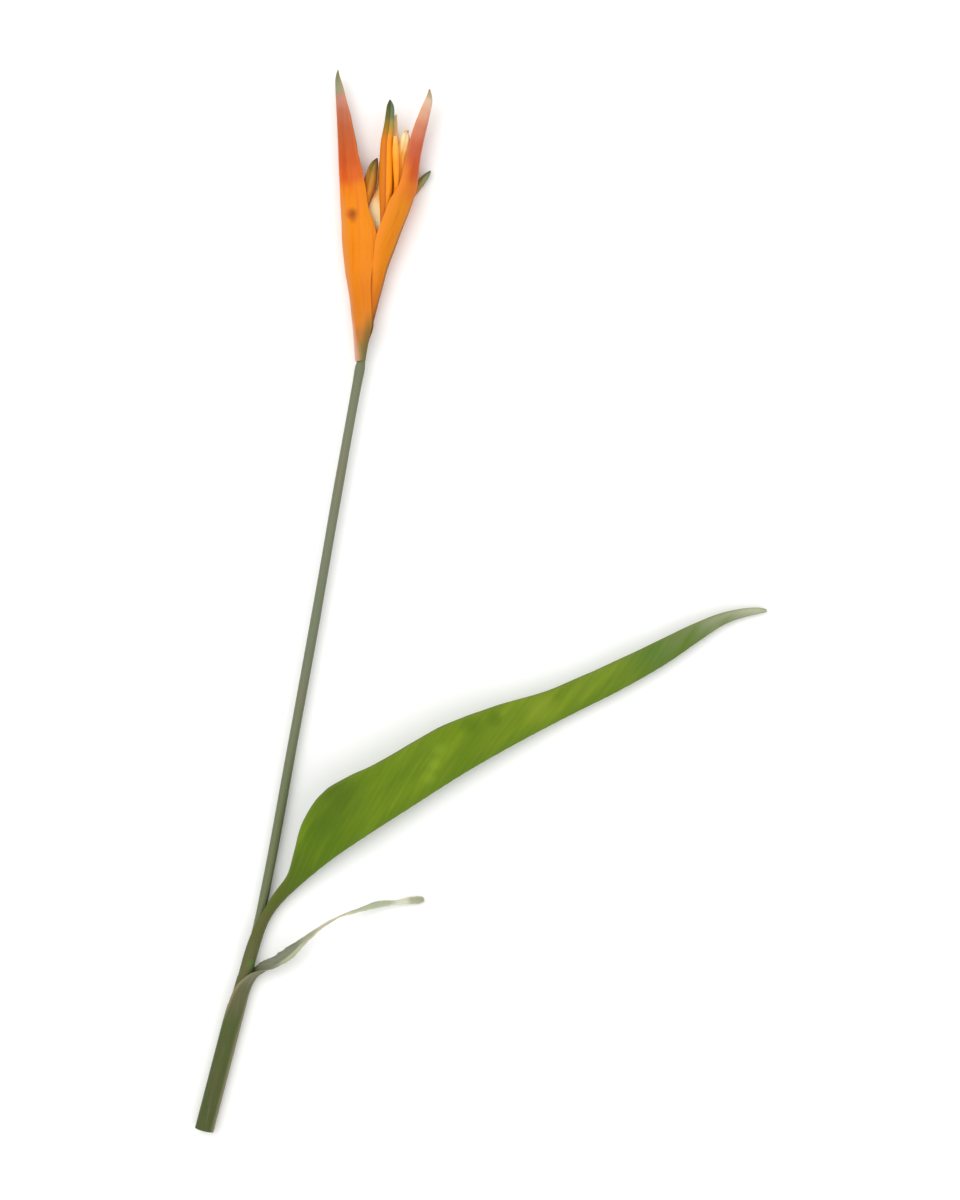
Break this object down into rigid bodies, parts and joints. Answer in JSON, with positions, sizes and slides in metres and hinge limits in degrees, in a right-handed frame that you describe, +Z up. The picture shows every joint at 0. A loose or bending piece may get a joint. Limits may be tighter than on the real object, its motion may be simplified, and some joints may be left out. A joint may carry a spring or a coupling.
{
  "type": "heliconia flower",
  "caption": "Cut parrot heliconia lying on a surface: folded orange bracts with green-tipped flowers on a thin stem, with a folded green leaf and a withered leaf rolled round its foot.",
  "frame": {"origin": "on the surface that the flower lies on, under the axis of the stem, 20 mm above the cut end, at the middle of the underside flat of the outer sheath", "axes": "+Z up from the surface, +Y from the cut end towards the tips of the bracts, +X towards the leaf's tip"},
  "size_m": [0.2397, 0.4455, 0.0205],
  "materials": {
    "stem": "smooth grey-green plant stem with a brown cast, satin",
    "bract": "waxy orange bract, red-orange to rose pink near the tip, with a green point",
    "flower": "smooth orange petals with a dark green point, satin",
    "leaf": "fresh yellow-green leaf with fine side veins, satin",
    "withered_leaf": "olive brown sheath that runs out into a dry grey-tan strip, matte"
  },
  "bodies": {
    "root": {"flower_stem": "stem", "bract_1": "bract", "bract_2": "bract", "bract_3": "bract", "flower_1": "flower", "flower_2": "flower", "flower_3": "flower", "flower_4": "flower", "leaf": "leaf", "withered_leaf": "withered_leaf"}
  },
  "joints": []
}
